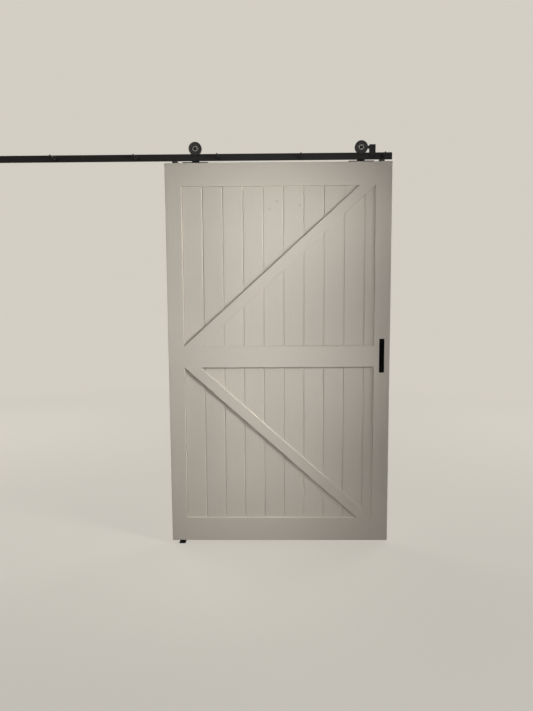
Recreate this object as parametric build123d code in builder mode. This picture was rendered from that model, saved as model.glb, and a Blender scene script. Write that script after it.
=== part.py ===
from build123d import *

import os
from math import ceil, sqrt

os.makedirs("parts", exist_ok=True)

# Sliding barn door with its track, modelled shut, in millimetres.
# X runs along the track and the leaf opens towards -X. The wall that carries the track is on the -Y side.
# The origin is on the finished floor, in the leaf's middle plane, at the centre of the floor guide.

# Leaf
leaf_w = 1332.0
leaf_h = 2290.0
leaf_t = 44.0
foot_gap = 20.0  # floor to the leaf's foot
guide_inset = 60.0  # the leaf's closing edge stands this far past the floor guide when it is shut
stile_w = 96.0
top_rail_h = 136.0
mid_rail_h = 131.0
mid_rail_rise = 1083.0  # leaf's foot to the underside of the middle rail
bottom_rail_h = 146.0
arris_r = 3.0

# Tongue-and-groove boards
board_t = 15.0
board_cover = 120.0
v_edge = 4.0
tongue_t = 5.0
tongue_l = 8.0
tongue_play = 0.2  # between a tongue's side and its groove
tongue_end_play = 0.5
least_rip = 0.1  # a last board narrower than this share of a whole one is not cut

# Braces, one on each face of both panels
brace_w = 65.0

# Stub tenons that join the rails to the stiles
tenon_t = 14.0
tenon_l = 60.0
tenon_shoulder = 20.0
tenon_play = 0.1
tenon_end_play = 2.0

# Groove in the foot and the floor guide that runs in it
slot_w = 7.0
slot_d = 18.0
fin_t = 6.0
fin_l = 36.0
fin_top_play = 4.0
guide_base_x = 40.0
guide_base_y = 46.0
guide_base_t = 2.5
guide_screw_y = 15.0
guide_corner_r = 4.0
fin_edge_r = 1.5

# Track bar
wall_gap = 25.0  # wall to the leaf's near face
bar_h = 40.0
bar_t = 6.0
bar_over_leaf = 14.0
travel = 1180.0
fixings = 6
fixing_end = 56.0  # bar's end to its first fixing
standoff_r = 10.0
bar_corner_r = 2.0

# Lag bolts, with a thread only where they are in the wall
lag_r = 4.0
lag_shank_r = 3.7
lag_hole_r = 4.5
lag_embed = 60.0
lag_point = 8.0
lag_head_af = 13.0
lag_head_t = 5.5
washer_r = 9.5
washer_t = 1.6

# Wheels, with a groove that straddles the bar
wheel_groove_r = 30.0
wheel_r = 38.0
wheel_w = 22.0
groove_side_play = 0.5
groove_mouth_w = 13.0
wheel_lift = 0.3
hub_r = 19.0
hub_w = 19.0
web_w = 15.0
web_rim_r = 28.5
wheel_edge = 1.5

# Ball bearings
bearing_r = 15.0
bearing_w = 9.0
bearing_bore_r = 5.02
balls = 8
ball_r = 2.38
ball_pitch_r = 10.0
ring_gap = 2.1  # from the balls' pitch circle to each ring's shoulder
ball_play = 0.3  # between the balls and the inner ring
ball_seat = 0.02  # between the balls and the outer ring
bearing_lip_r = 13.4
bearing_fit = 0.01

# Hangers, folded from plate and screwed to the leaf's top edge
hanger_inset = 180.0  # leaf's edge to a wheel's axle
hanger_t = 5.0
hanger_w = 45.0
hanger_base_l = 150.0
hanger_base_y = 18.0  # near edge of the base, from the leaf's middle plane
hanger_y = 12.5  # near side of the upright
hanger_bend_r = 3.0
hanger_screw_x = (38.0, 62.0)
hanger_corner_r = 5.0

# Axle bolts
axle_r = 5.0
axle_hole_r = 5.2
axle_head_r = 8.0
axle_head_t = 4.0
axle_tail = 3.0
axle_socket_af = 6.0
axle_socket_d = 2.5
spacer_r = 7.0
spacer_bore_r = 5.1
nut_af = 16.0
nut_t = 8.0

# Discs that keep the wheels from jumping off the bar
disc_inset = 60.0
disc_r = 19.0
disc_gap = 3.0  # disc to the bar's underside
disc_screw_clear = 3.0  # screw's point to the tenon under it

# End stops
stop_l = 36.0
stop_w = 20.0
stop_grip = 22.0  # how far the stop reaches down over the bar
stop_over_axle = 15.0
stop_slot_play = 0.2
stop_edge = 2.0
bumper_r = 9.0
bumper_t = 8.0
bumper_stem_r = 3.0
bumper_stem_l = 8.0
bumper_stem_play = 0.05
bumper_clear = 0.5
set_screw_r = 3.0
set_screw_inset = 2.0
set_screw_play = 0.05

# Flush pull in the near face
pull_l = 204.0
pull_w = 30.0
pull_t = 1.5
pull_corner_r = 2.0
cup_l = 150.0
cup_w = 20.0
cup_d = 11.0
cup_wall = 1.2
cup_play = 0.3
pull_rise = 1152.0  # leaf's foot to the middle of both pulls
pull_screw_inset = 12.0

# Bar pull on the far face
grip_l = 300.0
grip_w = 25.0
grip_t = 6.0
grip_reach = 44.0
grip_foot = 34.0
grip_bend_r = 9.0
grip_rake = 14.0  # how far each leg leans towards the middle
grip_screw_inset = 14.0
grip_screw_x = 6.0  # each side of the middle

# Countersunk screws: shank radius, head radius, length
hanger_screw = (2.75, 5.0, 45.0)
disc_screw_r = 2.25
disc_screw_head_r = 4.2
guide_screw_r = 2.5
guide_screw_l = 30.0
pull_screw = (1.75, 3.0, 18.0)
grip_screw = (2.25, 4.5, 28.0)
screw_play = 0.05

# Leaf, worked out
leaf_x0 = -guide_inset
leaf_x1 = leaf_x0 + leaf_w
leaf_z0 = foot_gap
leaf_z1 = leaf_z0 + leaf_h
leaf_y = leaf_t / 2
inner_x0 = leaf_x0 + stile_w
inner_x1 = leaf_x1 - stile_w
inner_w = inner_x1 - inner_x0
inner_x = (inner_x0 + inner_x1) / 2
board_y = board_t / 2
brace_t = leaf_y - board_y
mid_z0 = leaf_z0 + mid_rail_rise
mid_z1 = mid_z0 + mid_rail_h
lower_panel = (leaf_z0 + bottom_rail_h, mid_z0)
upper_panel = (mid_z1, leaf_z1 - top_rail_h)
house_t = tongue_t + 2 * tongue_play
house_d = tongue_l + tongue_end_play
whole_boards = ceil(inner_w / board_cover - least_rip) - 1

# Track, worked out
wall_y = -leaf_y - wall_gap
bar_z0 = leaf_z1 + bar_over_leaf
bar_z1 = bar_z0 + bar_h
bar_x1 = leaf_x1
bar_l = leaf_w + travel
bar_x0 = bar_x1 - bar_l
bar_y = bar_t / 2
bar_mid_z = bar_z0 + bar_h / 2
fixing_pitch = (bar_l - 2 * fixing_end) / (fixings - 1)
fixing_xs = [bar_x0 + fixing_end + i * fixing_pitch for i in range(fixings)]
axle_z = bar_z1 + wheel_lift + wheel_groove_r
hanger_xs = {"left": leaf_x0 + hanger_inset, "right": leaf_x1 - hanger_inset}
disc_xs = [leaf_x0 + disc_inset, leaf_x1 - disc_inset]
stop_faces = {
    "left": hanger_xs["left"] - travel - wheel_r - bumper_clear - bumper_t,
    "right": hanger_xs["right"] + wheel_r + bumper_clear + bumper_t,
}
outward = {"left": -1, "right": 1}
hanger_top_z = leaf_z1 + hanger_t
hanger_screw_y = (hanger_y - hanger_bend_r - hanger_base_y) / 2
hanger_screw_dxs = [side * dx for dx in hanger_screw_x for side in (-1, 1)]
hanger_screw_places = [(x + dx, hanger_screw_y) for x in hanger_xs.values() for dx in hanger_screw_dxs]
fixing_places = [(x, bar_mid_z) for x in fixing_xs]
axle_places = [(x, axle_z) for x in hanger_xs.values()]
disc_t = bar_over_leaf - disc_gap
disc_screw = (disc_screw_r, disc_screw_head_r, disc_t + tenon_shoulder - disc_screw_clear)
guide_screw = (guide_screw_r, guide_screw_r + guide_base_t, guide_screw_l)  # countersunk right through the base
guide_screw_places = [(0, side * guide_screw_y, guide_base_t) for side in (-1, 1)]

# Pulls, worked out
pull_x = leaf_x1 - stile_w / 2
pull_z = leaf_z0 + pull_rise
near_face = Plane(origin=(pull_x, -leaf_y, pull_z), x_dir=(1, 0, 0), z_dir=(0, -1, 0))
far_face = Plane(origin=(pull_x, leaf_y, pull_z), x_dir=(-1, 0, 0), z_dir=(0, 1, 0))
pull_screw_places = [(0, side * (pull_l / 2 - pull_screw_inset)) for side in (-1, 1)]
grip_screw_z = grip_l / 2 - grip_screw_inset
grip_screw_places = [(dx, dz) for dx in (-grip_screw_x, grip_screw_x) for dz in (-grip_screw_z, grip_screw_z)]


def facing_wall(y):
    """A plane at y that faces the wall, with X to its right and Z up."""
    return Plane.XZ.offset(-y)


def keep(piece, label):
    """Label a finished piece and write it."""
    piece.part.label = label
    export_step(piece.part, f"parts/{label}.step")


# Shared features


def round_over(plane, corner, into, length):
    """Ease a sharp edge that stands on the plane at corner; into points from it to the wood."""
    with BuildSketch(plane) as waste:
        with Locations(corner):
            Rectangle(2 * arris_r, 2 * arris_r)
        with Locations((corner[0] + into[0] * arris_r, corner[1] + into[1] * arris_r)):
            Circle(arris_r, mode=Mode.SUBTRACT)
    extrude(waste.sketch, amount=length, mode=Mode.SUBTRACT)


def csk_screw(size):
    """A countersunk wood screw whose flat head is level with the present plane."""
    shank_r, head_r, length = size
    Cylinder(shank_r, length, align=(Align.CENTER, Align.CENTER, Align.MAX))
    Cone(shank_r, head_r, head_r - shank_r, align=(Align.CENTER, Align.CENTER, Align.MAX))


def csk_hole(size, depth):
    """The countersink and clearance hole for such a screw."""
    shank_r, head_r, _ = size
    hole_r = shank_r + screw_play
    top_r = head_r + screw_play
    Cylinder(hole_r, depth, align=(Align.CENTER, Align.CENTER, Align.MAX), mode=Mode.SUBTRACT)
    Cone(hole_r, top_r, top_r - hole_r, align=(Align.CENTER, Align.CENTER, Align.MAX), mode=Mode.SUBTRACT)


def pilot_hole(size, buried):
    """The hole in the wood for the part of a screw that is buried in it."""
    Cylinder(size[0] + screw_play, buried, align=(Align.CENTER, Align.CENTER, Align.MAX), mode=Mode.SUBTRACT)


def house_boards(x, z, up, length):
    """Cut the groove that takes the boards' ends into a rail's edge; up is the way the edge faces."""
    with Locations((x, 0, z - up * house_d / 2)):
        Box(length, house_t, house_d, mode=Mode.SUBTRACT)


def guide_slot(x, length):
    """Cut the floor guide's slot along the leaf's foot."""
    with Locations((x, 0, leaf_z0)):
        Box(length, slot_w, slot_d, align=(Align.CENTER, Align.CENTER, Align.MIN), mode=Mode.SUBTRACT)


def brace_end(height):
    """Length of a brace's level end where it meets a rail, in a panel of this height."""
    side = sqrt(inner_w**2 + height**2 - brace_w**2)
    return brace_w * (height * side - brace_w * inner_w) / (height**2 - brace_w**2)


# Leaf's frame

lower_end = brace_end(lower_panel[1] - lower_panel[0])
upper_end = brace_end(upper_panel[1] - upper_panel[0])
rails = {
    "bottom_rail": (leaf_z0, lower_panel[0]),
    "mid_rail": (mid_z0, mid_z1),
    "top_rail": (upper_panel[1], leaf_z1),
}


def make_stile(label, outer_x, inner_x, disc_x):
    """An upright of the leaf's frame; the right one also takes the pulls."""
    inward = 1 if inner_x > outer_x else -1
    middle_x = (outer_x + inner_x) / 2
    with BuildPart() as stile:
        with Locations((middle_x, 0, leaf_z0)):
            Box(stile_w, leaf_t, leaf_h, align=(Align.CENTER, Align.CENTER, Align.MIN))
        inner_side = stile.faces().sort_by(Axis.X)[-1 if inward > 0 else 0]
        fillet(stile.edges() - inner_side.edges(), arris_r)
        for z0, z1 in (lower_panel, upper_panel):
            with Locations((inner_x, 0, (z0 + z1) / 2)):
                Box(2 * house_d, house_t, z1 - z0 + 2 * house_d, mode=Mode.SUBTRACT)
            for side in (-1, 1):
                round_over(Plane.XY.offset(z0), (inner_x, side * leaf_y), (-inward, -side), z1 - z0)
        for z0, z1 in rails.values():
            mortise_h = z1 - z0 - 2 * tenon_shoulder + 2 * tenon_play
            with Locations((inner_x, 0, (z0 + z1) / 2)):
                Box(2 * (tenon_l + tenon_end_play), tenon_t + 2 * tenon_play, mortise_h, mode=Mode.SUBTRACT)
        guide_slot(middle_x, stile_w)
        with Locations((disc_x, 0, leaf_z1)):
            pilot_hole(disc_screw, disc_screw[2] - disc_t)
        if inward < 0:
            with BuildSketch(near_face):
                SlotOverall(cup_l + 2 * cup_play, cup_w + 2 * cup_play, rotation=90)
            extrude(amount=-cup_d - cup_play, mode=Mode.SUBTRACT)
            with Locations(near_face):
                with Locations(*pull_screw_places):
                    pilot_hole(pull_screw, pull_screw[2] - pull_t)
            with Locations(far_face):
                with Locations(*grip_screw_places):
                    pilot_hole(grip_screw, grip_screw[2] - grip_t)
    keep(stile, label)


def make_rail(label, foot_ease, top_ease):
    """A rail with its tenons. The eases are the stretches whose corners are rounded beside a panel, and
    None marks the leaf's own foot or top edge."""
    z0, z1 = rails[label]
    with BuildPart() as rail:
        with Locations((inner_x, 0, (z0 + z1) / 2)):
            Box(inner_w, leaf_t, z1 - z0)
        levels = rail.edges().filter_by(Axis.X).group_by(Axis.Z)
        if foot_ease is None:
            fillet(levels[0], arris_r)
        if top_ease is None:
            fillet(levels[-1], arris_r)
        for z, up, ease in ((z0, -1, foot_ease), (z1, 1, top_ease)):
            if ease:
                house_boards(inner_x, z, up, inner_w)
                for side in (-1, 1):
                    round_over(Plane.YZ.offset(ease[0]), (side * leaf_y, z), (-side, -up), ease[1] - ease[0])
        with Locations(*[(x, 0, (z0 + z1) / 2) for x in (inner_x0 - tenon_l / 2, inner_x1 + tenon_l / 2)]):
            Box(tenon_l, tenon_t, z1 - z0 - 2 * tenon_shoulder)
        if foot_ease is None:
            guide_slot(inner_x, inner_w)
        if top_ease is None:
            with Locations(*[(x, y, leaf_z1) for x, y in hanger_screw_places]):
                pilot_hole(hanger_screw, hanger_screw[2] - hanger_t)
    keep(rail, label)


make_stile("stile_left", leaf_x0, inner_x0, disc_xs[0])
make_stile("stile_right", leaf_x1, inner_x1, disc_xs[1])
make_rail("bottom_rail", None, (inner_x0, inner_x1 - lower_end))
make_rail("mid_rail", (inner_x0 + lower_end, inner_x1), (inner_x0 + upper_end, inner_x1))
make_rail("top_rail", (inner_x0, inner_x1 - upper_end), None)


# Boards


def lip(x, reach, thickness):
    """Four corners of a tongue or groove that starts at x."""
    half = thickness / 2
    return [(x, -half), (x + reach, -half), (x + reach, half), (x, half)]


def make_board(label, x, width, panel, first, last):
    """A board with V-shaped edges. The first has a tongue on both edges, and the last is ripped to fit, so its
    cut edge has no V."""
    z0, z1 = panel
    left = lip(x, -tongue_l, tongue_t) if first else lip(x, house_d, house_t)
    right = lip(x + width, tongue_l, tongue_t)
    bevel = 0 if last else v_edge
    with BuildPart() as board:
        with BuildSketch(Plane.XY.offset(z0 - tongue_l)):
            with BuildLine():
                near = [(x, -board_y + v_edge), (x + v_edge, -board_y), (x + width - bevel, -board_y)]
                far = [(x + width - bevel, board_y), (x + v_edge, board_y), (x, board_y - v_edge)]
                if not last:
                    near.append((x + width, -board_y + v_edge))
                    far.insert(0, (x + width, board_y - v_edge))
                Polyline(*near, *right, *far, *reversed(left), close=True)
            make_face()
        extrude(amount=z1 - z0 + 2 * tongue_l)
        cheek = (board_t - tongue_t) / 2
        for z in (z0 - tongue_l / 2, z1 + tongue_l / 2):
            with Locations(*[(x + width / 2, side * (board_y - cheek / 2), z) for side in (-1, 1)]):
                Box(width + 2 * tongue_l, cheek, tongue_l, mode=Mode.SUBTRACT)
    keep(board, label)


for row, panel in (("upper", upper_panel), ("lower", lower_panel)):
    for i in range(whole_boards):
        make_board(f"board_{row}_{i + 1:02d}", inner_x0 + i * board_cover, board_cover, panel, i == 0, False)
    ripped_x = inner_x0 + whole_boards * board_cover
    make_board(f"board_{row}_{whole_boards + 1:02d}", ripped_x, inner_x1 - ripped_x, panel, False, True)


# Braces


def make_brace(label, panel, foot_z, head_z, end, side):
    """A flat brace with level ends, from the left stile at foot_z to the right stile at head_z."""
    with BuildPart() as brace:
        with BuildSketch(Plane.XZ.offset(-side * board_y)):
            with BuildLine():
                Polyline(
                    (inner_x0, foot_z),
                    (inner_x0 + end, foot_z),
                    (inner_x1, head_z),
                    (inner_x1 - end, head_z),
                    close=True,
                )
            make_face()
        extrude(amount=-side * brace_t)
        outer_face = brace.faces().filter_by(Axis.Y).sort_by(Axis.Y)[0 if side < 0 else -1]
        fillet(outer_face.edges().filter_by(Axis.X, reverse=True), arris_r)
    keep(brace, label)


for face, side in (("near", -1), ("far", 1)):
    make_brace(f"brace_upper_{face}", upper_panel, upper_panel[0], upper_panel[1], upper_end, side)
    make_brace(f"brace_lower_{face}", lower_panel, lower_panel[1], lower_panel[0], lower_end, side)


# Flush pull

with BuildPart() as flush_pull:
    with BuildSketch(near_face):
        RectangleRounded(pull_w, pull_l, pull_corner_r)
    extrude(amount=pull_t)
    with BuildSketch(near_face):
        SlotOverall(cup_l, cup_w, rotation=90)
    extrude(amount=-cup_d)
    with BuildSketch(near_face.offset(pull_t)):
        SlotOverall(cup_l - 2 * cup_wall, cup_w - 2 * cup_wall, rotation=90)
    extrude(amount=-(pull_t + cup_d - cup_wall), mode=Mode.SUBTRACT)
    with Locations(near_face.offset(pull_t)):
        with Locations(*pull_screw_places):
            csk_hole(pull_screw, pull_t)
keep(flush_pull, "flush_pull")

with BuildPart() as flush_pull_screws:
    with Locations(near_face.offset(pull_t)):
        with Locations(*pull_screw_places):
            csk_screw(pull_screw)
keep(flush_pull_screws, "flush_pull_screws")


# Bar pull, one bent flat bar

grip_y = leaf_y + grip_t / 2
grip_out_y = leaf_y + grip_reach - grip_t / 2
grip_foot_z = grip_l / 2 - grip_foot
with BuildPart() as bar_pull:
    with BuildSketch(Plane.YZ.offset(pull_x)):
        with BuildLine():
            FilletPolyline(
                (grip_y, pull_z - grip_l / 2),
                (grip_y, pull_z - grip_foot_z),
                (grip_out_y, pull_z - grip_foot_z + grip_rake),
                (grip_out_y, pull_z + grip_foot_z - grip_rake),
                (grip_y, pull_z + grip_foot_z),
                (grip_y, pull_z + grip_l / 2),
                radius=grip_bend_r,
            )
        trace(line_width=grip_t)
    extrude(amount=grip_w / 2, both=True)
    with Locations(far_face.offset(grip_t)):
        with Locations(*grip_screw_places):
            csk_hole(grip_screw, grip_t)
keep(bar_pull, "bar_pull")

with BuildPart() as bar_pull_screws:
    with Locations(far_face.offset(grip_t)):
        with Locations(*grip_screw_places):
            csk_screw(grip_screw)
keep(bar_pull_screws, "bar_pull_screws")


# Track bar and its fixings

with BuildPart() as track_rail:
    with Locations((bar_x0 + bar_l / 2, 0, bar_mid_z)):
        Box(bar_l, bar_t, bar_h)
    fillet(track_rail.edges().filter_by(Axis.Y), bar_corner_r)
    with Locations(facing_wall(0)):
        with Locations(*fixing_places):
            Cylinder(lag_hole_r, 2 * bar_t, mode=Mode.SUBTRACT)
keep(track_rail, "track_rail")

with BuildPart() as standoffs:
    with BuildSketch(facing_wall(-bar_y)):
        with Locations(*fixing_places):
            Circle(standoff_r)
            Circle(lag_hole_r, mode=Mode.SUBTRACT)
    extrude(amount=-bar_y - wall_y)
keep(standoffs, "standoffs")

with BuildPart() as lag_washers:
    with BuildSketch(facing_wall(bar_y + washer_t)):
        with Locations(*fixing_places):
            Circle(washer_r)
            Circle(lag_hole_r, mode=Mode.SUBTRACT)
    extrude(amount=washer_t)
keep(lag_washers, "lag_washers")

lag_seat_y = bar_y + washer_t
with BuildPart() as lag_bolts:
    with BuildSketch(facing_wall(lag_seat_y + lag_head_t)):
        with Locations(*fixing_places):
            RegularPolygon(lag_head_af / 2, 6, major_radius=False)
    extrude(amount=lag_head_t)
    with BuildSketch(facing_wall(lag_seat_y)):
        with Locations(*fixing_places):
            Circle(lag_shank_r)
    extrude(amount=lag_seat_y - wall_y)
    with BuildSketch(facing_wall(wall_y)):
        with Locations(*fixing_places):
            Circle(lag_r)
    extrude(amount=lag_embed - lag_point)
    with Locations(facing_wall(wall_y - lag_embed + lag_point)):
        with Locations(*fixing_places):
            Cone(lag_r, lag_r / 4, lag_point, align=(Align.CENTER, Align.CENTER, Align.MIN))
keep(lag_bolts, "lag_bolts")


# Wheels and bearings


def make_wheel(name, x):
    """A grooved wheel with its ball bearing, on the axle at x."""
    section = Plane(origin=(x, 0, axle_z), x_dir=(0, 1, 0), z_dir=(1, 0, 0))
    axis = Axis((x, 0, axle_z), (0, 1, 0))
    face = wheel_w / 2
    hub = hub_w / 2
    web = web_w / 2
    groove = bar_y + groove_side_play
    mouth = groove_mouth_w / 2
    seat_r = bearing_r + bearing_fit
    with BuildPart() as wheel:
        with BuildSketch(section):
            with BuildLine():
                Polyline(
                    (-hub, seat_r),
                    (-hub, hub_r),
                    (-web, hub_r + hub - web),
                    (-web, web_rim_r),
                    (-face, web_rim_r + face - web),
                    (-face, wheel_r - wheel_edge),
                    (-face + wheel_edge, wheel_r),
                    (-mouth, wheel_r),
                    (-groove, wheel_groove_r),
                    (groove, wheel_groove_r),
                    (mouth, wheel_r),
                    (face - wheel_edge, wheel_r),
                    (face, wheel_r - wheel_edge),
                    (face, web_rim_r + face - web),
                    (web, web_rim_r),
                    (web, hub_r + hub - web),
                    (hub, hub_r),
                    (hub, bearing_lip_r),
                    (bearing_w / 2, bearing_lip_r),
                    (bearing_w / 2, seat_r),
                    close=True,
                )
            make_face()
        revolve(axis=axis)
    keep(wheel, f"wheel_{name}")

    with BuildPart() as outer_ring:
        with BuildSketch(section):
            with Locations((0, (ball_pitch_r + ring_gap + bearing_r) / 2)):
                Rectangle(bearing_w, bearing_r - ball_pitch_r - ring_gap)
            with Locations((0, ball_pitch_r)):
                Circle(ball_r + ball_seat, mode=Mode.SUBTRACT)
        revolve(axis=axis)
    keep(outer_ring, f"bearing_outer_{name}")

    with BuildPart() as ball_set:
        with Locations(facing_wall(0)):
            with Locations((x, axle_z)):
                with PolarLocations(ball_pitch_r, balls):
                    Sphere(ball_r)
    keep(ball_set, f"bearing_balls_{name}")


for name, x in hanger_xs.items():
    make_wheel(name, x)

with BuildPart() as inner_rings:
    for x in hanger_xs.values():
        with BuildSketch(Plane(origin=(x, 0, axle_z), x_dir=(0, 1, 0), z_dir=(1, 0, 0))):
            with Locations((0, (bearing_bore_r + ball_pitch_r - ring_gap) / 2)):
                Rectangle(bearing_w, ball_pitch_r - ring_gap - bearing_bore_r)
            with Locations((0, ball_pitch_r)):
                Circle(ball_r + ball_play, mode=Mode.SUBTRACT)
        revolve(axis=Axis((x, 0, axle_z), (0, 1, 0)))
keep(inner_rings, "bearing_inner_rings")


# Hangers


def make_hanger(label, x):
    """A plate folded to an L: the base lies on the leaf's top edge and the upright holds the axle."""
    base_w = hanger_base_y + hanger_y - hanger_bend_r
    with BuildPart() as hanger:
        with Locations((x, hanger_screw_y, leaf_z1)):
            Box(hanger_base_l, base_w, hanger_t, align=(Align.CENTER, Align.CENTER, Align.MIN))
        fillet(hanger.edges().filter_by(Axis.Z), hanger_corner_r)
        with BuildSketch(Plane.YZ.offset(x - hanger_w / 2)):
            with BuildLine():
                FilletPolyline(
                    (-hanger_base_y, leaf_z1 + hanger_t / 2),
                    (hanger_y + hanger_t / 2, leaf_z1 + hanger_t / 2),
                    (hanger_y + hanger_t / 2, axle_z),
                    radius=hanger_bend_r + hanger_t / 2,
                )
            trace(line_width=hanger_t)
        extrude(amount=hanger_w)
        with Locations(facing_wall(hanger_y + hanger_t)):
            with Locations((x, axle_z)):
                Cylinder(hanger_w / 2, hanger_t, align=(Align.CENTER, Align.CENTER, Align.MIN))
                Cylinder(axle_hole_r, 2 * hanger_t, mode=Mode.SUBTRACT)
        with Locations(*[(x + dx, hanger_screw_y, hanger_top_z) for dx in hanger_screw_dxs]):
            csk_hole(hanger_screw, hanger_t)
    keep(hanger, label)


for name, x in hanger_xs.items():
    make_hanger(f"hanger_{name}", x)

with BuildPart() as hanger_screws:
    with Locations(*[(x, y, hanger_top_z) for x, y in hanger_screw_places]):
        csk_screw(hanger_screw)
keep(hanger_screws, "hanger_screws")


# Axles

axle_end_y = hanger_y + hanger_t + nut_t + axle_tail
for name, x in hanger_xs.items():
    with BuildPart() as axle:
        with Locations(facing_wall(axle_end_y)):
            with Locations((x, axle_z)):
                Cylinder(axle_r, axle_end_y + bearing_w / 2, align=(Align.CENTER, Align.CENTER, Align.MIN))
        with Locations(facing_wall(-bearing_w / 2)):
            with Locations((x, axle_z)):
                Cylinder(axle_head_r, axle_head_t, align=(Align.CENTER, Align.CENTER, Align.MIN))
        with BuildSketch(facing_wall(-bearing_w / 2 - axle_head_t)):
            with Locations((x, axle_z)):
                RegularPolygon(axle_socket_af / 2, 6, major_radius=False)
        extrude(amount=-axle_socket_d, mode=Mode.SUBTRACT)
    keep(axle, f"axle_{name}")

with BuildPart() as axle_spacers:
    with BuildSketch(facing_wall(hanger_y)):
        with Locations(*axle_places):
            Circle(spacer_r)
            Circle(spacer_bore_r, mode=Mode.SUBTRACT)
    extrude(amount=hanger_y - bearing_w / 2)
keep(axle_spacers, "axle_spacers")

with BuildPart() as axle_nuts:
    with BuildSketch(facing_wall(hanger_y + hanger_t + nut_t)):
        with Locations(*axle_places):
            RegularPolygon(nut_af / 2, 6, major_radius=False)
            Circle(axle_r + screw_play, mode=Mode.SUBTRACT)
    extrude(amount=nut_t)
keep(axle_nuts, "axle_nuts")


# Anti-jump discs

with BuildPart() as anti_jump_discs:
    with Locations(*[(x, 0, leaf_z1) for x in disc_xs]):
        Cylinder(disc_r, disc_t, align=(Align.CENTER, Align.CENTER, Align.MIN))
    with Locations(*[(x, 0, leaf_z1 + disc_t) for x in disc_xs]):
        csk_hole(disc_screw, disc_t)
keep(anti_jump_discs, "anti_jump_discs")

with BuildPart() as anti_jump_screws:
    with Locations(*[(x, 0, leaf_z1 + disc_t) for x in disc_xs]):
        csk_screw(disc_screw)
keep(anti_jump_screws, "anti_jump_screws")


# End stops

stop_z0 = bar_z1 - stop_grip
stop_h = axle_z + stop_over_axle - stop_z0
set_screw_z = bar_z1 - stop_grip / 2
stop_mid_xs = {name: stop_faces[name] + outward[name] * stop_l / 2 for name in stop_faces}
for name, x in stop_mid_xs.items():
    with BuildPart() as end_stop:
        with Locations((x, 0, stop_z0)):
            Box(stop_l, stop_w, stop_h, align=(Align.CENTER, Align.CENTER, Align.MIN))
        fillet(end_stop.edges(), stop_edge)
        with Locations((x, 0, stop_z0)):
            slot = (stop_l, bar_t + 2 * stop_slot_play, stop_grip)
            Box(*slot, align=(Align.CENTER, Align.CENTER, Align.MIN), mode=Mode.SUBTRACT)
        with Locations(Location((stop_faces[name], 0, axle_z), (0, 90, 0))):
            Cylinder(bumper_stem_r + bumper_stem_play, 2 * bumper_stem_l, mode=Mode.SUBTRACT)
        with Locations(facing_wall(stop_w / 2)):
            with Locations((x, set_screw_z)):
                set_hole = (set_screw_r + set_screw_play, stop_w / 2)
                Cylinder(*set_hole, align=(Align.CENTER, Align.CENTER, Align.MIN), mode=Mode.SUBTRACT)
    keep(end_stop, f"end_stop_{name}")

with BuildPart() as stop_bumpers:
    for name, face_x in stop_faces.items():
        with Locations(Location((face_x, 0, axle_z), (0, outward[name] * 90, 0))):
            Cylinder(bumper_r, bumper_t, align=(Align.CENTER, Align.CENTER, Align.MAX))
            Cylinder(bumper_stem_r, bumper_stem_l, align=(Align.CENTER, Align.CENTER, Align.MIN))
keep(stop_bumpers, "stop_bumpers")

with BuildPart() as stop_set_screws:
    with BuildSketch(facing_wall(stop_w / 2 - set_screw_inset)):
        with Locations(*[(x, set_screw_z) for x in stop_mid_xs.values()]):
            Circle(set_screw_r)
    extrude(amount=stop_w / 2 - set_screw_inset - bar_y)
keep(stop_set_screws, "stop_set_screws")


# Floor guide

with BuildPart() as floor_guide:
    Box(guide_base_x, guide_base_y, guide_base_t, align=(Align.CENTER, Align.CENTER, Align.MIN))
    fillet(floor_guide.edges().filter_by(Axis.Z), guide_corner_r)
    Box(fin_l, fin_t, leaf_z0 + slot_d - fin_top_play, align=(Align.CENTER, Align.CENTER, Align.MIN))
    fillet(floor_guide.edges().filter_by(Axis.X).group_by(Axis.Z)[-1], fin_edge_r)
    with Locations(*guide_screw_places):
        csk_hole(guide_screw, guide_base_t)
keep(floor_guide, "floor_guide")

with BuildPart() as floor_guide_screws:
    with Locations(*guide_screw_places):
        csk_screw(guide_screw)
keep(floor_guide_screws, "floor_guide_screws")
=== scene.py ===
import math

import bpy
from mathutils import Matrix, Vector


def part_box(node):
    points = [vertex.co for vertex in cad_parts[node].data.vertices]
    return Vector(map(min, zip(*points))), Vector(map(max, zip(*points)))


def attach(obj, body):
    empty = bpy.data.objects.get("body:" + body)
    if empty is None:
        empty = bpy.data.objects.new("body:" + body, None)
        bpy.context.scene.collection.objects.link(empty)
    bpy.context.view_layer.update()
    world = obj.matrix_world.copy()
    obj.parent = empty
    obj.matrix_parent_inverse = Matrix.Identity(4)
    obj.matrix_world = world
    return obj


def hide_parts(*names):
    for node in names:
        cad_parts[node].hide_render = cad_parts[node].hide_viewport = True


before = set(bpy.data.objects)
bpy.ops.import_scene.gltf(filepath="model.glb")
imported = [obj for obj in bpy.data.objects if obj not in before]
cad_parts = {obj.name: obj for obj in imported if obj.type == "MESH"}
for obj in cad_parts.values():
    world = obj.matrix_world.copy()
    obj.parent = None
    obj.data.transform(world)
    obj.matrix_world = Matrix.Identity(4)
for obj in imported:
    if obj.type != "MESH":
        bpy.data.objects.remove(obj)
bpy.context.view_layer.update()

# Painted timber of the leaf: the stiles, rails, boards and braces.
# The real pieces are softwood and moulded board, primed and finished with a satin off-white paint.
# A fine roller texture, the grain and three knots show in it faintly, and the boards' shades differ.

off_white = (0.605, 0.555, 0.481, 1)
knot_stain = (0.88, 0.86, 0.82)
usual_noise = (0.3, 0.7)
patch_shades = (0.985, 1.012)
grain_shades = (-0.016, 0.016)
board_shades = (-0.014, 0.014)
upper_row_step = 17.0
paint_roughness = (0.38, 0.52)
paint_relief = 0.00018
grain_share, stroke_share, stipple_share, knot_share = 0.55, 0.18, 0.4, 0.25
knot_core, knot_rim = 0.4, 1.3
mix_inputs, mix_output = (0, 6, 7), 2


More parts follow.
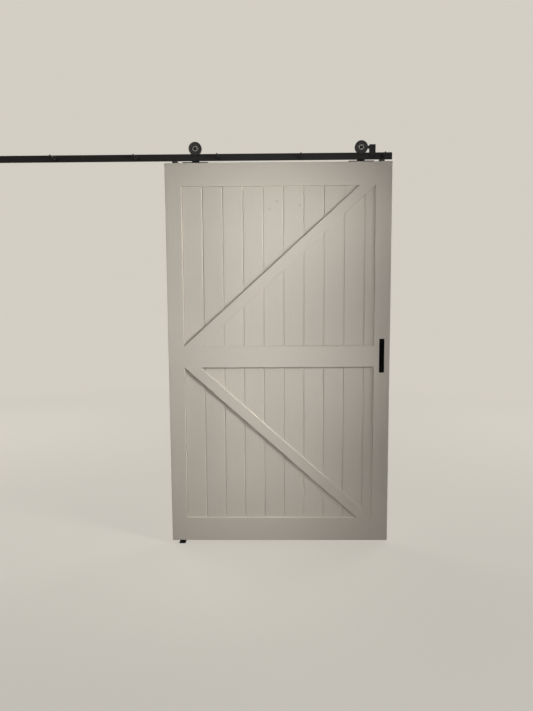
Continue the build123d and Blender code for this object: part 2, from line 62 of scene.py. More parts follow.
def shader_node(tree, kind, values=None, **settings):
    """Adds a node to a tree, with its settings and the values of its sockets."""
    made = tree.nodes.new(kind)
    for setting, value in settings.items():
        setattr(made, setting, value)
    for socket, value in (values or {}).items():
        made.inputs[socket].default_value = value
    return made


def new_group(name, inputs, outputs):
    """Starts a shader node group and returns it with its input and output nodes."""
    tree = bpy.data.node_groups.new(name, "ShaderNodeTree")
    for socket, kind in inputs:
        tree.interface.new_socket(socket, in_out="INPUT", socket_type=kind)
    for socket, kind in outputs:
        tree.interface.new_socket(socket, in_out="OUTPUT", socket_type=kind)
    return tree, tree.nodes.new("NodeGroupInput"), tree.nodes.new("NodeGroupOutput")


def new_material(name):
    """An empty material with a Principled shader joined to its output."""
    material = bpy.data.materials.new(name)
    material.use_nodes = True
    tree = material.node_tree
    tree.nodes.clear()
    shader = shader_node(tree, "ShaderNodeBsdfPrincipled")
    output = shader_node(tree, "ShaderNodeOutputMaterial")
    tree.links.new(shader.outputs[0], output.inputs["Surface"])
    return material, tree, shader


def object_place(tree, turn=(0, 0, 0)):
    """Object coordinates, turned."""
    place = shader_node(tree, "ShaderNodeTexCoord")
    mapping = shader_node(tree, "ShaderNodeMapping", {"Rotation": turn})
    tree.links.new(place.outputs["Object"], mapping.inputs["Vector"])
    return mapping.outputs["Vector"]


def split(tree, vector):
    """The X, Y and Z of a vector."""
    parts = shader_node(tree, "ShaderNodeSeparateXYZ")
    tree.links.new(vector, parts.inputs[0])
    return parts.outputs


def noise(tree, vector, scale, detail, roughness, stretch=(1, 1, 1)):
    """A noise texture on a vector, stretched along its axes."""
    spread = shader_node(tree, "ShaderNodeMapping", {"Scale": stretch})
    grades = {"Scale": scale, "Detail": detail, "Roughness": roughness}
    texture = shader_node(tree, "ShaderNodeTexNoise", grades)
    tree.links.new(vector, spread.inputs["Vector"])
    tree.links.new(spread.outputs["Vector"], texture.inputs["Vector"])
    return texture.outputs["Fac"]


def math_node(tree, operation, first, second=None, third=None):
    """A Math node; each operand is a number or another node's output."""
    made = shader_node(tree, "ShaderNodeMath", operation=operation)
    for socket, value in zip(made.inputs, (first, second, third)):
        if value is None:
            continue
        if isinstance(value, (int, float)):
            socket.default_value = value
        else:
            tree.links.new(value, socket)
    return made.outputs[0]


def flat_distance(tree, across, up):
    """Distance of a point that lies so far across and so far up."""
    squares = math_node(tree, "MULTIPLY_ADD", up, up, math_node(tree, "MULTIPLY", across, across))
    return math_node(tree, "SQRT", squares)


def remap(tree, value, span, to_span):
    """Maps a value from one span of values to another, clamped."""
    limits = {"From Min": span[0], "From Max": span[1], "To Min": to_span[0], "To Max": to_span[1]}
    made = shader_node(tree, "ShaderNodeMapRange", limits)
    tree.links.new(value, made.inputs["Value"])
    return made.outputs["Result"]


def mix_colour(tree, factor, first, second):
    """Mixes two colours; the factor and each colour may be a value or another node's output."""
    made = shader_node(tree, "ShaderNodeMix", data_type="RGBA")
    for number, value in zip(mix_inputs, (factor, first, second)):
        if isinstance(value, bpy.types.NodeSocket):
            tree.links.new(value, made.inputs[number])
        else:
            made.inputs[number].default_value = value
    return made.outputs[mix_output]


def bump(tree, shader, height, relief):
    """Joins a height to the shader's normal through a Bump node of the given relief in metres."""
    made = shader_node(tree, "ShaderNodeBump", {"Distance": relief})
    tree.links.new(height, made.inputs["Height"])
    tree.links.new(made.outputs["Normal"], shader.inputs["Normal"])


def painted_timber_group():
    """Satin paint on wood whose grain runs along the vector's Z axis."""
    tree, given, result = new_group(
        "painted timber",
        [
            ("Vector", "NodeSocketVector"), ("Paint", "NodeSocketColor"),
            ("Shade", "NodeSocketFloat"), ("Knot", "NodeSocketFloat"),
        ],
        [("Color", "NodeSocketColor"), ("Roughness", "NodeSocketFloat"), ("Height", "NodeSocketFloat")],
    )
    vector = given.outputs["Vector"]
    knot = given.outputs["Knot"]
    grain = noise(tree, vector, scale=210.0, detail=4.0, roughness=0.6, stretch=(1, 1, 0.03))
    strokes = noise(tree, vector, scale=900.0, detail=2.0, roughness=0.5, stretch=(1, 1, 0.02))
    stipple = noise(tree, vector, scale=620.0, detail=3.0, roughness=0.55)
    patches = noise(tree, vector, scale=2.6, detail=2.0, roughness=0.5)
    shade = math_node(
        tree, "ADD", remap(tree, patches, usual_noise, patch_shades), given.outputs["Shade"]
    )
    shade = math_node(tree, "ADD", shade, remap(tree, grain, usual_noise, grain_shades))
    shaded = shader_node(tree, "ShaderNodeVectorMath", operation="SCALE")
    tree.links.new(given.outputs["Paint"], shaded.inputs[0])
    tree.links.new(shade, shaded.inputs["Scale"])
    stained = shader_node(tree, "ShaderNodeVectorMath", operation="MULTIPLY")
    stained.inputs[1].default_value = knot_stain
    tree.links.new(shaded.outputs[0], stained.inputs[0])
    colour = mix_colour(tree, knot, shaded.outputs[0], stained.outputs[0])
    tree.links.new(colour, result.inputs["Color"])
    tree.links.new(remap(tree, strokes, usual_noise, paint_roughness), result.inputs["Roughness"])
    height = math_node(tree, "MULTIPLY", strokes, stroke_share)
    height = math_node(tree, "MULTIPLY_ADD", grain, grain_share, height)
    height = math_node(tree, "MULTIPLY_ADD", stipple, stipple_share, height)
    height = math_node(tree, "MULTIPLY_ADD", knot, knot_share, height)
    tree.links.new(height, result.inputs["Height"])
    return tree


painted_timber_tree = painted_timber_group()


def knot_mask(tree, place, knots):
    """1 at the middle of each knot, given by its X, Z and radius, and 0 away from them."""
    mask = 0.0
    for knot_x, knot_z, knot_r in knots:
        across = math_node(tree, "SUBTRACT", place["X"], knot_x)
        up = math_node(tree, "SUBTRACT", place["Z"], knot_z)
        away = flat_distance(tree, across, up)
        spot = remap(tree, away, (knot_r * knot_core, knot_r * knot_rim), (1, 0))
        mask = math_node(tree, "MAXIMUM", spot, mask)
    return mask


def painted_timber(name, turn=(0, 0, 0), cover=None, start=0.0, knots=()):
    """Painted wood whose grain is turned from upright; boards of a given cover also differ in shade."""
    material, tree, shader = new_material(name)
    paint = shader_node(tree, "ShaderNodeGroup", node_tree=painted_timber_tree)
    paint.inputs["Paint"].default_value = off_white
    tree.links.new(object_place(tree, turn), paint.inputs["Vector"])
    if cover:
        place = split(tree, object_place(tree))
        number = math_node(tree, "SUBTRACT", place["X"], start)
        number = math_node(tree, "FLOOR", math_node(tree, "DIVIDE", number, cover))
        upper_row = math_node(tree, "GREATER_THAN", place["Z"], mid_rail_z)
        number = math_node(tree, "MULTIPLY_ADD", upper_row, upper_row_step, number)
        chance = shader_node(tree, "ShaderNodeTexWhiteNoise", noise_dimensions="1D")
        tree.links.new(number, chance.inputs["W"])
        shade = remap(tree, chance.outputs["Value"], (0, 1), board_shades)
        tree.links.new(shade, paint.inputs["Shade"])
        tree.links.new(knot_mask(tree, place, knots), paint.inputs["Knot"])
    tree.links.new(paint.outputs["Color"], shader.inputs["Base Color"])
    tree.links.new(paint.outputs["Roughness"], shader.inputs["Roughness"])
    bump(tree, shader, paint.outputs["Height"], paint_relief)
    return material


def finish_nodes(material, *names):
    """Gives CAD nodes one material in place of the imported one."""
    for name in names:
        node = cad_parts[name]
        node.data.materials.clear()
        node.data.materials.append(material)


mid_low, mid_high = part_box("mid_rail")
mid_rail_z = (mid_low.z + mid_high.z) / 2
boards_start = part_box("stile_left")[1].x
board_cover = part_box("board_upper_03")[0].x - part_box("board_upper_02")[0].x
board_knots = ((0.553, 2.045, 0.010), (0.596, 2.089, 0.009), (0.732, 2.066, 0.010))
painted_boards = painted_timber(
    "painted_boards", cover=board_cover, start=boards_start, knots=board_knots
)
finish_nodes(painted_boards, *(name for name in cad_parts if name.startswith("board_")))
finish_nodes(painted_timber("painted_stiles"), "stile_left", "stile_right")
painted_rails = painted_timber("painted_rails", turn=(0, math.pi / 2, 0))
finish_nodes(painted_rails, "bottom_rail", "mid_rail", "top_rail")
for row, side in (("upper", 1), ("lower", -1)):
    brace_low, brace_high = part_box(f"brace_{row}_near")
    lean = side * math.atan2(brace_high.x - brace_low.x, brace_high.z - brace_low.z)
    painted_brace = painted_timber(f"painted_brace_{row}", turn=(0, -lean, 0))
    finish_nodes(painted_brace, f"brace_{row}_near", f"brace_{row}_far")

# Track: a flat steel bar on edge, held clear of what carries it by six turned steel sleeves.
# Bar and sleeves are powder coated a matt black, with a fine even texture.
# The wheels have rubbed the coat a little along the bar's upper edge.

matt_black = (0.007, 0.007, 0.0074, 1)
rubbed_black = (0.085, 0.085, 0.088, 1)
coat_roughness = (0.52, 0.64)
coat_gloss = 0.3
coat_relief = 0.00004
rub_marks = (0.35, 0.62)
rub_strengths = (0.15, 1.0)
rub_roughness = -0.24
rub_most = 0.8
rub_depth = 0.0012
rub_fade = 0.001


def powder_coat_group():
    """Matt powder coat with a fine texture, rubbed where it is told to be."""
    tree, given, result = new_group(
        "powder coat",
        [("Vector", "NodeSocketVector"), ("Coat", "NodeSocketColor"), ("Rubbed", "NodeSocketFloat")],
        [("Color", "NodeSocketColor"), ("Roughness", "NodeSocketFloat"), ("Height", "NodeSocketFloat")],
    )
    vector = given.outputs["Vector"]
    texture = noise(tree, vector, scale=1500.0, detail=3.0, roughness=0.6)
    cloud = noise(tree, vector, scale=24.0, detail=3.0, roughness=0.55)
    marks = noise(tree, vector, scale=60.0, detail=4.0, roughness=0.6, stretch=(1, 1, 0.25))
    marks = remap(tree, marks, rub_marks, rub_strengths)
    rubbed = math_node(tree, "MULTIPLY", given.outputs["Rubbed"], marks)
    colour = mix_colour(tree, rubbed, given.outputs["Coat"], rubbed_black)
    tree.links.new(colour, result.inputs["Color"])
    roughness = remap(tree, cloud, usual_noise, coat_roughness)
    roughness = math_node(tree, "MULTIPLY_ADD", rubbed, rub_roughness, roughness)
    tree.links.new(roughness, result.inputs["Roughness"])
    tree.links.new(texture, result.inputs["Height"])
    return tree


powder_coat_tree = powder_coat_group()


def powder_coat(name, colour, gloss=coat_gloss, rubbed_from=None):
    """Powder coat of a colour and gloss; rubbed_from is the height above which rolling has rubbed it."""
    material, tree, shader = new_material(name)
    coat = shader_node(tree, "ShaderNodeGroup", node_tree=powder_coat_tree)
    coat.inputs["Coat"].default_value = colour
    vector = object_place(tree)
    tree.links.new(vector, coat.inputs["Vector"])
    if rubbed_from:
        height = split(tree, vector)["Z"]
        rubbed = remap(tree, height, (rubbed_from, rubbed_from + rub_fade), (0, rub_most))
        tree.links.new(rubbed, coat.inputs["Rubbed"])
    tree.links.new(coat.outputs["Color"], shader.inputs["Base Color"])
    tree.links.new(coat.outputs["Roughness"], shader.inputs["Roughness"])
    shader.inputs["Specular IOR Level"].default_value = gloss
    bump(tree, shader, coat.outputs["Height"], coat_relief)
    return material


black_steel = powder_coat("black_powder_coat", matt_black)
bar_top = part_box("track_rail")[1].z
finish_nodes(powder_coat("track_bar_coat", matt_black, rubbed_from=bar_top - rub_depth), "track_rail")
finish_nodes(black_steel, "standoffs")

# Lag bolts: six hexagon-headed steel screws that carry the bar on its standoffs.
# Each is cold headed and rolled, its corners turned off, with a coarse thread down to a gimlet point.
# They take a thin black oxide finish, which is patchy and a little shiny.

oxide_dark = (0.02, 0.02, 0.021, 1)
oxide_pale = (0.055, 0.051, 0.047, 1)
oxide_patches = (0.4, 0.75)
oxide_roughness = (0.34, 0.5)
oxide_metal = 0.55
oxide_relief = 0.00002
lag_across_flats = 0.013
lag_shank_r = 0.0037
lag_crest_r = 0.004
lag_root_r = 0.003
lag_pitch = 0.003
lag_point = 0.008
lag_count = 6
corner_angle = math.radians(30)
face_share = 0.48
ridge_share = 0.34
tip_share = 0.06
smooth_angle = math.radians(32)
to_near_side = (0, 0, math.pi)


def black_oxide(name):
    """Thin black oxide on steel, patchy and a little shiny."""
    material, tree, shader = new_material(name)
    vector = object_place(tree)
    patches = noise(tree, vector, scale=140.0, detail=4.0, roughness=0.6)
    fine = noise(tree, vector, scale=2600.0, detail=2.0, roughness=0.5)
    colour = mix_colour(tree, remap(tree, patches, oxide_patches, (0, 1)), oxide_dark, oxide_pale)
    tree.links.new(colour, shader.inputs["Base Color"])
    tree.links.new(remap(tree, patches, usual_noise, oxide_roughness), shader.inputs["Roughness"])
    shader.inputs["Metallic"].default_value = oxide_metal
    bump(tree, shader, fine, oxide_relief)
    return material


def new_piece(shape, **settings):
    """Adds a primitive with nothing else selected."""
    bpy.ops.object.select_all(action="DESELECT")
    getattr(bpy.ops.mesh, f"primitive_{shape}_add")(**settings)
    return bpy.context.object


def new_bar(sides, radius, start, end):
    """A round or many-sided bar along the Y axis, from its start to its end."""
    return new_piece(
        "cylinder", vertices=sides, radius=radius, depth=end - start,
        location=(0, (start + end) / 2, 0), rotation=(math.pi / 2, 0, 0),
    )


def hexagon_bar(across_flats, start, end):
    """A hexagon bar along the Y axis, from its start to its end."""
    return new_bar(6, across_flats / math.sqrt(3), start, end)


def pick_alone(piece):
    """Makes a piece the only one selected, and the active one."""
    bpy.ops.object.select_all(action="DESELECT")
    piece.select_set(True)
    bpy.context.view_layer.objects.active = piece


def join(first, *others):
    """Joins pieces into the first."""
    pick_alone(first)
    for piece in others:
        piece.select_set(True)
    bpy.ops.object.join()
    return first


def apply_place(piece):
    """Moves a piece's place and turn into its mesh."""
    pick_alone(piece)
    bpy.ops.object.transform_apply(location=True, rotation=True, scale=True)


def cut(piece, tool, operation):
    """Cuts a piece with a tool, or keeps what both share, and removes the tool."""
    apply_place(piece)
    made = piece.modifiers.new("cut", "BOOLEAN")
    made.operation = operation
    made.object = tool
    bpy.ops.object.modifier_apply(modifier=made.name)
    bpy.data.objects.remove(tool)


def hexagon_blank(across_flats, start, end, turned_ends):
    """A hexagon along Y, with the corners turned off at its -1 end, its +1 end or both."""
    blank = hexagon_bar(across_flats, start, end)
    face_r = across_flats * face_share
    foot_r = face_r + (end - start) / math.tan(corner_angle)
    for side in turned_ends:
        cone = new_piece(
            "cone", vertices=64, radius1=foot_r, radius2=face_r, depth=end - start,
            location=(0, (start + end) / 2, 0), rotation=(-side * math.pi / 2, 0, 0),
        )
        cut(blank, cone, "INTERSECT")
    return blank


def threaded_rod(sides, plain_r, crest_r, root_r, pitch, plain, threaded, taper, rings_per_turn=8):
    """A rod along +Y from the origin: a plain shank, a thread, and a tapered end."""
    rod = new_piece(
        "circle", vertices=sides, radius=plain_r, fill_type="NGON", rotation=(math.pi / 2, 0, 0)
    )
    apply_place(rod)
    bpy.ops.object.mode_set(mode="EDIT")
    bpy.ops.mesh.select_all(action="SELECT")
    step = pitch / rings_per_turn
    rings = math.ceil((threaded + taper) / step)
    for advance in [plain] + [(threaded + taper) / rings] * rings:
        bpy.ops.mesh.extrude_region_move(TRANSFORM_OT_translate={"value": (0, advance, 0)})
    bpy.ops.mesh.select_all(action="SELECT")
    bpy.ops.mesh.normals_make_consistent(inside=False)
    bpy.ops.object.mode_set(mode="OBJECT")
    length = plain + threaded + taper
    for corner in rod.data.vertices:
        along = corner.co.y
        if along <= plain + step / 2:
            continue
        angle = math.atan2(corner.co.x, corner.co.z)
        turned = (along / pitch - angle / (2 * math.pi)) % 1
        ridge = max(0.0, 1 - abs(turned - 0.5) / ridge_share)
        narrowing = min(1.0, (length - along) / taper + tip_share)
        radius = (root_r + (crest_r - root_r) * ridge) * narrowing
        corner.co.x = radius * math.sin(angle)
        corner.co.z = radius * math.cos(angle)
    return rod


def set_out(piece, places, turn=(0, 0, 0)):
    """Turns a piece, puts a copy of it at each place, and joins them all."""
    piece.rotation_euler = turn
    apply_place(piece)
    copies = []
    for place in places[1:]:
        twin = piece.copy()
        twin.data = piece.data.copy()
        bpy.context.scene.collection.objects.link(twin)
        twin.location = place
        apply_place(twin)
        copies.append(twin)
    piece.location = places[0]
    apply_place(piece)
    return join(piece, *copies) if copies else piece


def fit(piece, name, body, material, *nodes):
    """Names a finished piece, gives it its material, and puts it in place of its CAD nodes."""
    piece.name = name
    piece.data.materials.clear()
    piece.data.materials.append(material)
    pick_alone(piece)
    bpy.ops.object.shade_smooth_by_angle(angle=smooth_angle)
    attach(piece, body)
    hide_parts(*nodes)


oxide = black_oxide("black_oxide_steel")
standoff_low, standoff_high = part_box("standoffs")
lag_low, lag_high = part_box("lag_bolts")
lag_seat_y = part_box("lag_washers")[1].y
standoff_r = (standoff_high.z - standoff_low.z) / 2
lag_z = (standoff_high.z + standoff_low.z) / 2
lag_spacing = (standoff_high.x - standoff_low.x - 2 * standoff_r) / (lag_count - 1)
lag_places = [
    (standoff_low.x + standoff_r + number * lag_spacing, lag_seat_y, lag_z) for number in range(lag_count)
]
lag_head = hexagon_blank(lag_across_flats, lag_seat_y - lag_high.y, 0, turned_ends=(-1,))
lag_rod = threaded_rod(
    sides=24, plain_r=lag_shank_r, crest_r=lag_crest_r, root_r=lag_root_r, pitch=lag_pitch,
    plain=lag_seat_y - standoff_low.y, threaded=standoff_low.y - lag_low.y - lag_point, taper=lag_point,
)
lag_bolts = set_out(join(lag_head, lag_rod), lag_places, to_near_side)
fit(lag_bolts, "lag_bolts_rolled", "track", oxide, "lag_bolts")
finish_nodes(oxide, "lag_washers")

# Hangers: two plates of 5 mm steel folded to an L, one leg screwed down on the leaf's top edge.
# They have the track's black powder coat, and the screws have the lag bolts' black oxide.
# The screws are flat headed and level with the plate, with a pressed cross recess.

recess_arm = (1.1, 0.9, 0.2)
recess_taper = 0.55
screw_pitch_share = 0.62
screw_root_share = 0.72
hanger_screw_r = (0.005, 0.00275)
hanger_screw_dxs = (-0.062, -0.038, 0.038, 0.062)
downwards = (-math.pi / 2, 0, 0)


def edit_only(piece, kind, wanted):
    """Opens a piece in edit mode with only its wanted vertices or edges selected."""
    bpy.ops.object.mode_set(mode="EDIT")
    bpy.ops.mesh.select_all(action="DESELECT")
    bpy.ops.object.mode_set(mode="OBJECT")
    for part in getattr(piece.data, kind):
        part.select = wanted(part)
    bpy.ops.object.mode_set(mode="EDIT")


def wood_screw(head_r, shank_r, length):
    """A countersunk screw along +Y whose head is level with the origin."""
    head_h = head_r - shank_r
    head = new_piece(
        "cone", vertices=48, radius1=head_r, radius2=shank_r, depth=head_h, location=(0, head_h / 2, 0),
        rotation=(-math.pi / 2, 0, 0),
    )
    apply_place(head)
    for turn in (math.pi / 4, 3 * math.pi / 4):
        arm = new_piece("cube", size=1, rotation=(0, turn, 0))
        arm.scale = [head_r * share for share in recess_arm]
        apply_place(arm)
        edit_only(arm, "vertices", lambda corner: corner.co.y > 0)
        bpy.ops.transform.resize(value=(recess_taper, 1, recess_taper), center_override=(0, 0, 0))
        bpy.ops.object.mode_set(mode="OBJECT")
        cut(head, arm, "DIFFERENCE")
    pitch = shank_r * screw_pitch_share
    rod = threaded_rod(
        sides=12, plain_r=shank_r, crest_r=shank_r, root_r=shank_r * screw_root_share, pitch=pitch,
        plain=pitch, threaded=length - head_h - 3 * pitch, taper=2 * pitch, rings_per_turn=6,
    )
    rod.location = (0, head_h, 0)
    apply_place(rod)
    return join(head, rod)


hanger_mids = [(low.x + high.x) / 2 for low, high in (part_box("hanger_left"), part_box("hanger_right"))]
screws_low, screws_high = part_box("hanger_screws")
screws_y = (screws_low.y + screws_high.y) / 2
hanger_screw_places = [(x + dx, screws_y, screws_high.z) for x in hanger_mids for dx in hanger_screw_dxs]
hanger_screw = wood_screw(*hanger_screw_r, screws_high.z - screws_low.z)
hanger_screws = set_out(hanger_screw, hanger_screw_places, downwards)
fit(hanger_screws, "hanger_wood_screws", "leaf", oxide, "hanger_screws")
finish_nodes(black_steel, "hanger_left", "hanger_right")

# Wheels: each is turned from black nylon rod, with a groove that straddles the bar.
# Turning leaves fine rings round the axle, and a ball bearing is pressed into the bore.

nylon_dark = (0.016, 0.016, 0.017, 1)
nylon_pale = (0.024, 0.024, 0.025, 1)
nylon_roughness = (0.36, 0.48)
nylon_relief = 0.00003
turning_pitch = 0.0006
turning_share = 0.35


def axle_rings(tree, pitch):
    """Waves round the nearer of the two axles, which lie evenly about the leaf's middle."""
    place = split(tree, object_place(tree))
    across = math_node(tree, "ABSOLUTE", math_node(tree, "SUBTRACT", place["X"], wheels_middle))
    across = math_node(tree, "SUBTRACT", across, abs(axle_x - wheels_middle))
    up = math_node(tree, "SUBTRACT", place["Z"], axle_z)
    away = flat_distance(tree, across, up)
    return math_node(tree, "SINE", math_node(tree, "MULTIPLY", away, 2 * math.pi / pitch))


def black_nylon(name, ring_pitch=None):
    """Black nylon, with turning rings of a given pitch about the axles where it has any."""
    material, tree, shader = new_material(name)
    vector = object_place(tree)
    mottle = noise(tree, vector, scale=90.0, detail=3.0, roughness=0.5)
    height = noise(tree, vector, scale=2200.0, detail=2.0, roughness=0.5)
    colour = mix_colour(tree, remap(tree, mottle, usual_noise, (0, 1)), nylon_dark, nylon_pale)
    tree.links.new(colour, shader.inputs["Base Color"])
    tree.links.new(remap(tree, mottle, usual_noise, nylon_roughness), shader.inputs["Roughness"])
    if ring_pitch:
        height = math_node(tree, "MULTIPLY_ADD", axle_rings(tree, ring_pitch), turning_share, height)
    bump(tree, shader, height, nylon_relief)
    return material


wheel_low, wheel_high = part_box("wheel_left")
axle_x = (wheel_low.x + wheel_high.x) / 2
axle_z = (wheel_low.z + wheel_high.z) / 2
wheels_middle = (wheel_low.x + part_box("wheel_right")[1].x) / 2
finish_nodes(black_nylon("turned_nylon", turning_pitch), "wheel_left", "wheel_right")

# Ball bearings: an outer ring, balls and an inner ring of bright steel, ground to size.
# Each is pressed into its wheel, and the axle clamps its inner ring.

bright_steel = (0.60, 0.60, 0.61, 1)
filmed_steel = (0.46, 0.455, 0.44, 1)
film_patches = (0.35, 0.7)
ground_roughness = (0.18, 0.32)
grinding_pitch = 0.00025
grinding_relief = 0.000012


def ground_steel(name):
    """Bright bearing steel with fine grinding rings about the axle and a thin film of oil."""
    material, tree, shader = new_material(name)
    film = noise(tree, object_place(tree), scale=300.0, detail=3.0, roughness=0.5)
    colour = mix_colour(tree, remap(tree, film, film_patches, (0, 1)), bright_steel, filmed_steel)
    tree.links.new(colour, shader.inputs["Base Color"])
    tree.links.new(remap(tree, film, usual_noise, ground_roughness), shader.inputs["Roughness"])
    shader.inputs["Metallic"].default_value = 1.0
    bump(tree, shader, axle_rings(tree, grinding_pitch), grinding_relief)
    return material


bearings = [f"bearing_{piece}_{side}" for piece in ("outer", "balls") for side in ("left", "right")]
finish_nodes(ground_steel("ground_bearing_steel"), "bearing_inner_rings", *bearings)

# Axles: a button-headed steel bolt through each bearing, a spacer tube, the hanger and a hexagon nut.
# The head is domed and has a hexagon socket, and the nut has both its ends turned off.
# Bolts, spacers and nuts have the lag bolts' black oxide.

axle_head_r = 0.008
axle_head_h = 0.004
axle_dome_share = 0.7
axle_r = 0.005
axle_root_r = 0.0043
axle_pitch = 0.0015
axle_taper = 0.001
axle_socket_across_flats = 0.006
axle_socket_depth = 0.0025
nut_across_flats = 0.016
nut_bore_r = 0.00505
bore_reach = 0.015


def button_head():
    """A domed bolt head along +Y with its top at the origin and a hexagon socket in it."""
    head = new_bar(64, axle_head_r, 0, axle_head_h)
    apply_place(head)

    def on_top(edge):
        return all(head.data.vertices[end].co.y < axle_head_h / 4 for end in edge.vertices)

    edit_only(head, "edges", on_top)
    bpy.ops.mesh.bevel(offset=axle_head_h * axle_dome_share, segments=6, affect="EDGES")
    bpy.ops.object.mode_set(mode="OBJECT")
    socket = hexagon_bar(axle_socket_across_flats, -axle_socket_depth, axle_socket_depth)
    cut(head, socket, "DIFFERENCE")
    return head


nuts_low, nuts_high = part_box("axle_nuts")
nut_h = nuts_high.y - nuts_low.y
for side, x in zip(("left", "right"), hanger_mids):
    axle_low, axle_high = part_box(f"axle_{side}")
    bolt_head = button_head()
    bolt_rod = threaded_rod(
        sides=32, plain_r=axle_r, crest_r=axle_r, root_r=axle_root_r, pitch=axle_pitch,
        plain=axle_high.y - axle_low.y - axle_head_h - nut_h - axle_taper, threaded=nut_h, taper=axle_taper,
    )
    bolt_rod.location = (0, axle_head_h, 0)
    apply_place(bolt_rod)
    axle_bolt = set_out(join(bolt_head, bolt_rod), [(x, axle_low.y, axle_z)])
    fit(axle_bolt, f"axle_bolt_{side}", "leaf", oxide, f"axle_{side}")
nut = hexagon_blank(nut_across_flats, 0, nut_h, turned_ends=(-1, 1))
cut(nut, new_bar(48, nut_bore_r, -bore_reach, bore_reach), "DIFFERENCE")
nuts = set_out(nut, [(x, nuts_low.y, axle_z) for x in hanger_mids])
fit(nuts, "axle_nuts_turned", "leaf", oxide, "axle_nuts")
finish_nodes(oxide, "axle_spacers")

# Anti-jump discs: two black nylon discs just under the bar, which keep the leaf from lifting off it.
# Each is held on the leaf's top edge by a countersunk wood screw with the lag bolts' black oxide.

disc_r = 0.019
disc_screw_r = (0.0042, 0.00225)
discs_low, discs_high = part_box("anti_jump_discs")
disc_screws_low, disc_screws_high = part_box("anti_jump_screws")
disc_places = [(x, 0, discs_high.z) for x in (discs_low.x + disc_r, discs_high.x - disc_r)]
disc_screw = wood_screw(*disc_screw_r, disc_screws_high.z - disc_screws_low.z)
disc_screws = set_out(disc_screw, disc_places, downwards)
fit(disc_screws, "anti_jump_wood_screws", "leaf", oxide, "anti_jump_screws")
finish_nodes(black_nylon("disc_nylon"), "anti_jump_discs")

# End stops: steel blocks slotted over the bar, each held by a set screw, with a rubber bumper pushed in.
# The blocks are powder coated like the track, and the bumpers are moulded black rubber.
# The set screws have a hexagon socket and the lag bolts' black oxide.

rubber_dark = (0.014, 0.014, 0.014, 1)
rubber_pale = (0.032, 0.031, 0.030, 1)
rubber_bloom = (0.35, 0.75)
rubber_roughness = 0.82
rubber_relief = 0.00005
set_screw_r = 0.003
set_socket_across_flats = 0.003
set_socket_depth = 0.0025


def moulded_rubber(name):
    """Dull black rubber with a fine moulded grit."""
    material, tree, shader = new_material(name)
    vector = object_place(tree)
    bloom = noise(tree, vector, scale=160.0, detail=3.0, roughness=0.6)
    grit = noise(tree, vector, scale=1800.0, detail=2.0, roughness=0.6)
    colour = mix_colour(tree, remap(tree, bloom, rubber_bloom, (0, 1)), rubber_dark, rubber_pale)
    tree.links.new(colour, shader.inputs["Base Color"])
    shader.inputs["Roughness"].default_value = rubber_roughness
    bump(tree, shader, grit, rubber_relief)
    return material


finish_nodes(moulded_rubber("bumper_rubber"), "stop_bumpers")
finish_nodes(black_steel, "end_stop_left", "end_stop_right")
set_low, set_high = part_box("stop_set_screws")
set_z = (set_low.z + set_high.z) / 2
set_places = [(x, set_high.y, set_z) for x in (set_low.x + set_screw_r, set_high.x - set_screw_r)]
set_screw = new_bar(32, set_screw_r, 0, set_high.y - set_low.y)
set_socket = hexagon_bar(set_socket_across_flats, -set_socket_depth, set_socket_depth)
cut(set_screw, set_socket, "DIFFERENCE")
set_screws = set_out(set_screw, set_places, to_near_side)
fit(set_screws, "socket_set_screws", "track", oxide, "stop_set_screws")

# Flush pull: a pressed steel cup with a flat rim, let into the leaf's near face and screwed at both ends.
# It has the darkest and dullest of the black coats, and so have its two screws.

flush_black = (0.0025, 0.0025, 0.0026, 1)
flush_gloss = 0.03
flush_screw_r = (0.003, 0.00175)
flush_coat = powder_coat("flush_pull_coat", flush_black, flush_gloss)
finish_nodes(flush_coat, "flush_pull")
flush_low, flush_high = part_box("flush_pull_screws")
flush_x = (flush_low.x + flush_high.x) / 2
flush_places = [
    (flush_x, flush_low.y, z) for z in (flush_low.z + flush_screw_r[0], flush_high.z - flush_screw_r[0])
]
flush_screws = set_out(wood_screw(*flush_screw_r, flush_high.y - flush_low.y), flush_places)
fit(flush_screws, "flush_pull_wood_screws", "leaf", flush_coat, "flush_pull_screws")

# Bar pull: one flat steel bar bent to a handle and powder coated like the track.
# Two screws through each foot hold it on the leaf's far face.

grip_screw_r = (0.0045, 0.00225)
finish_nodes(black_steel, "bar_pull")
grip_low, grip_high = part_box("bar_pull_screws")
grip_places = [
    (x, grip_high.y, z)
    for x in (grip_low.x + grip_screw_r[0], grip_high.x - grip_screw_r[0])
    for z in (grip_low.z + grip_screw_r[0], grip_high.z - grip_screw_r[0])
]
grip_screws = set_out(wood_screw(*grip_screw_r, grip_high.y - grip_low.y), grip_places, to_near_side)
fit(grip_screws, "bar_pull_wood_screws", "leaf", oxide, "bar_pull_screws")

# Floor guide: a low steel fin on a plate, which runs in the groove in the leaf's foot.
# It is powder coated like the track and held down by two countersunk screws.

guide_screw_r = (0.005, 0.0025)
finish_nodes(black_steel, "floor_guide")
guide_low, guide_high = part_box("floor_guide_screws")
guide_places = [
    (0, y, guide_high.z) for y in (guide_low.y + guide_screw_r[0], guide_high.y - guide_screw_r[0])
]
guide_screws = set_out(wood_screw(*guide_screw_r, guide_high.z - guide_low.z), guide_places, downwards)
fit(guide_screws, "floor_guide_wood_screws", "track", oxide, "floor_guide_screws")

# Studio floor and background, no part of the door: a wide pale floor that glows a little, keeps the
# door's shadow and fades into the pale background. Only the camera and reflections see them so pale:
# the light that they throw back on the door is that of a darker floor and of a plain sky.

pale = (0.655, 0.62, 0.555, 1)
dark_floor = (0.16, 0.155, 0.15, 1)
floor_size = 60.0
floor_fade = (1.5, 6.5)
floor_glow = 0.7
sky = (0.98, 0.99, 1.0, 1)
sky_strengths = (0.03, 0.37)


